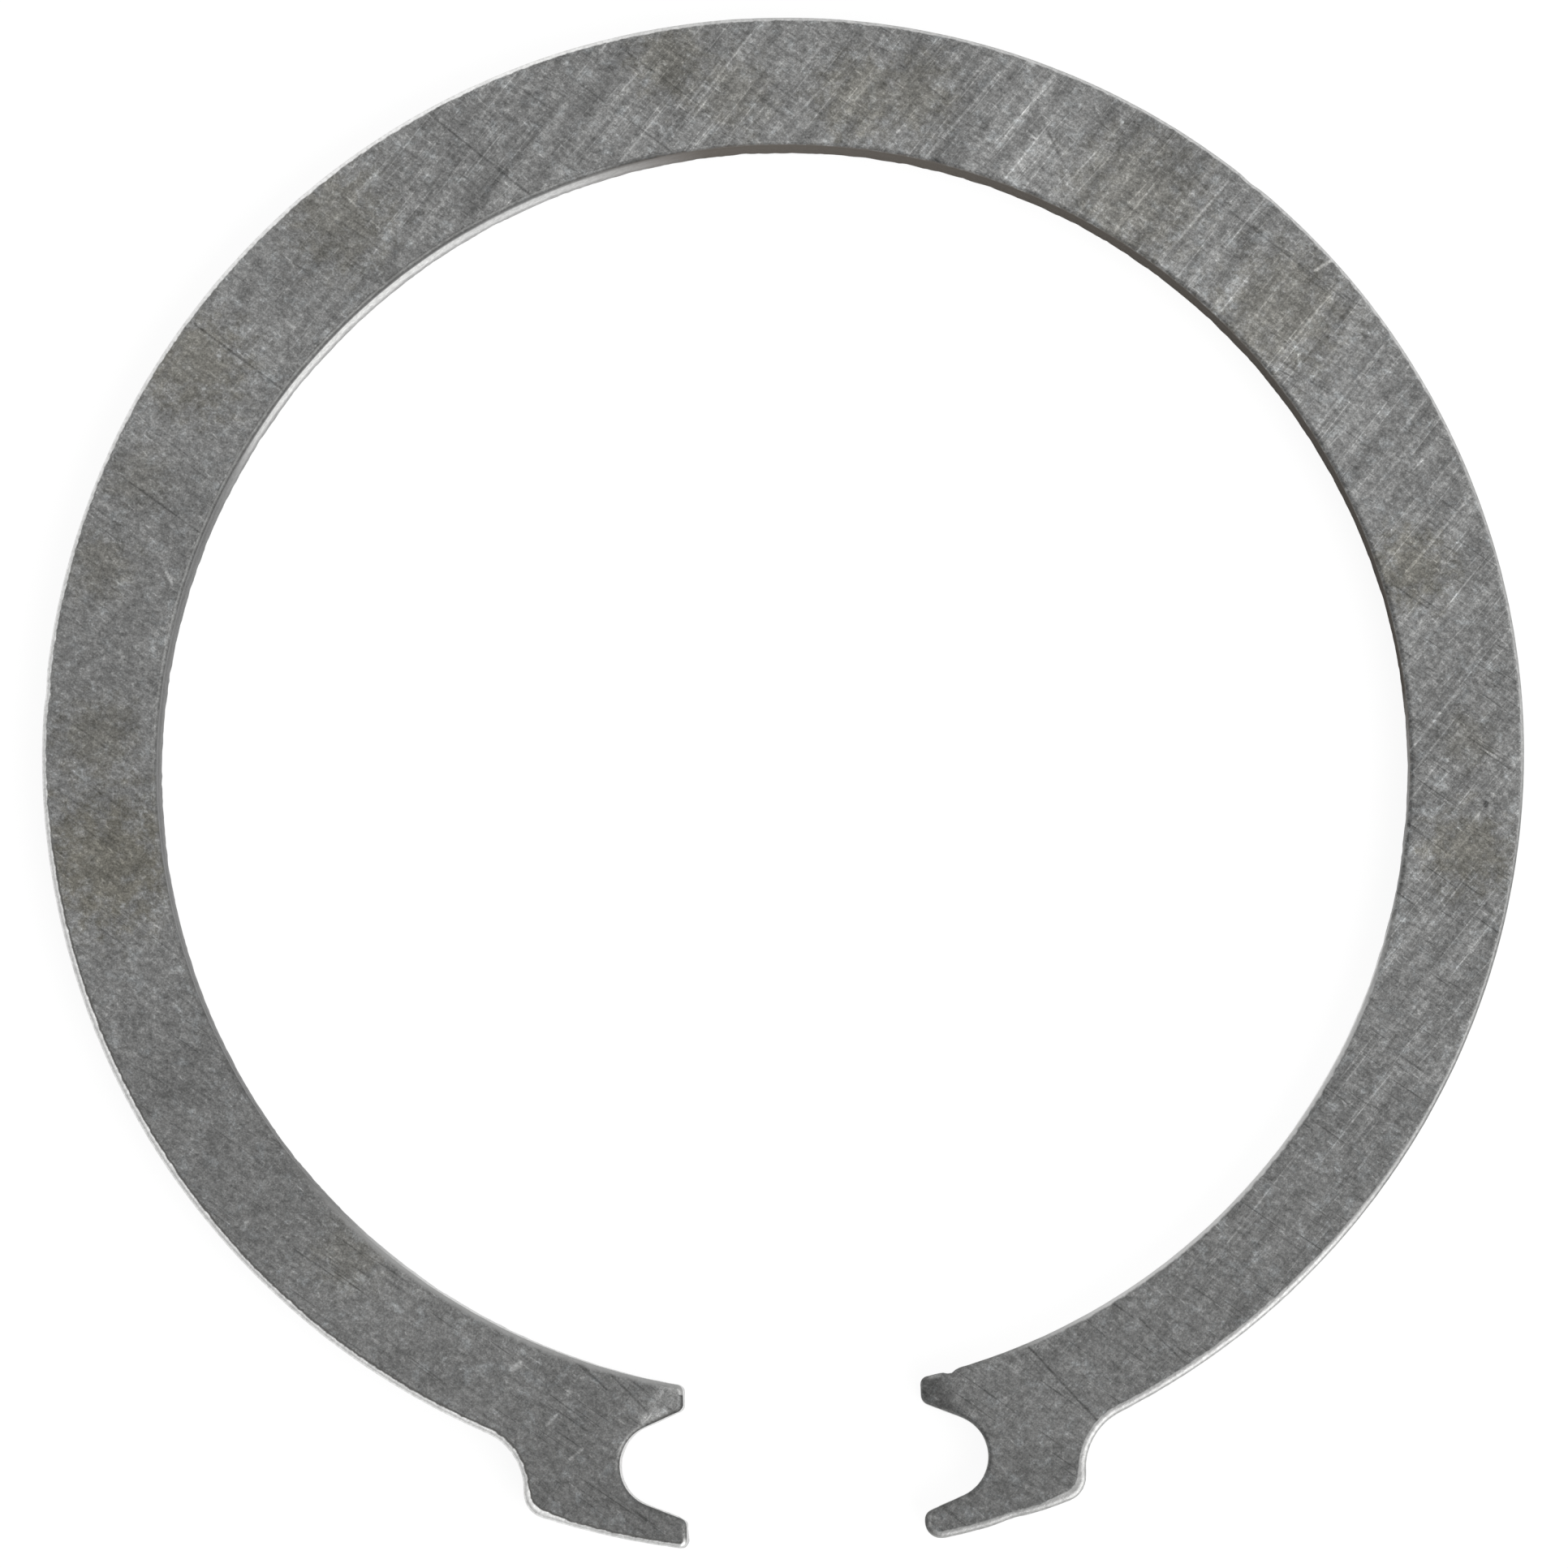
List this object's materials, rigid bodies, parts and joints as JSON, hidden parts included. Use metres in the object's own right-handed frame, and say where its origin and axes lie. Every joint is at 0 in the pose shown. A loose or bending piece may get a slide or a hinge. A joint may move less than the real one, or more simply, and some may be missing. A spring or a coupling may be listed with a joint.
{
  "type": "external retaining ring",
  "caption": "Flat steel circlip for the groove of a shaft: a tapered open ring with two hooked lugs that have open slots for plier tips.",
  "frame": {"origin": "centre of the bore, on the ring's lower face", "axes": "+Z along the shaft, through the sheet towards the upper face; +Y away from the gap; +X to the right-hand lug seen from above with the gap below"},
  "size_m": [0.0602, 0.0622, 0.002],
  "materials": {
    "spring_steel": "satin grey, mottled, with fine scratches and bright rolled edges"
  },
  "bodies": {
    "root": {"retaining_ring": "spring_steel"}
  },
  "joints": []
}
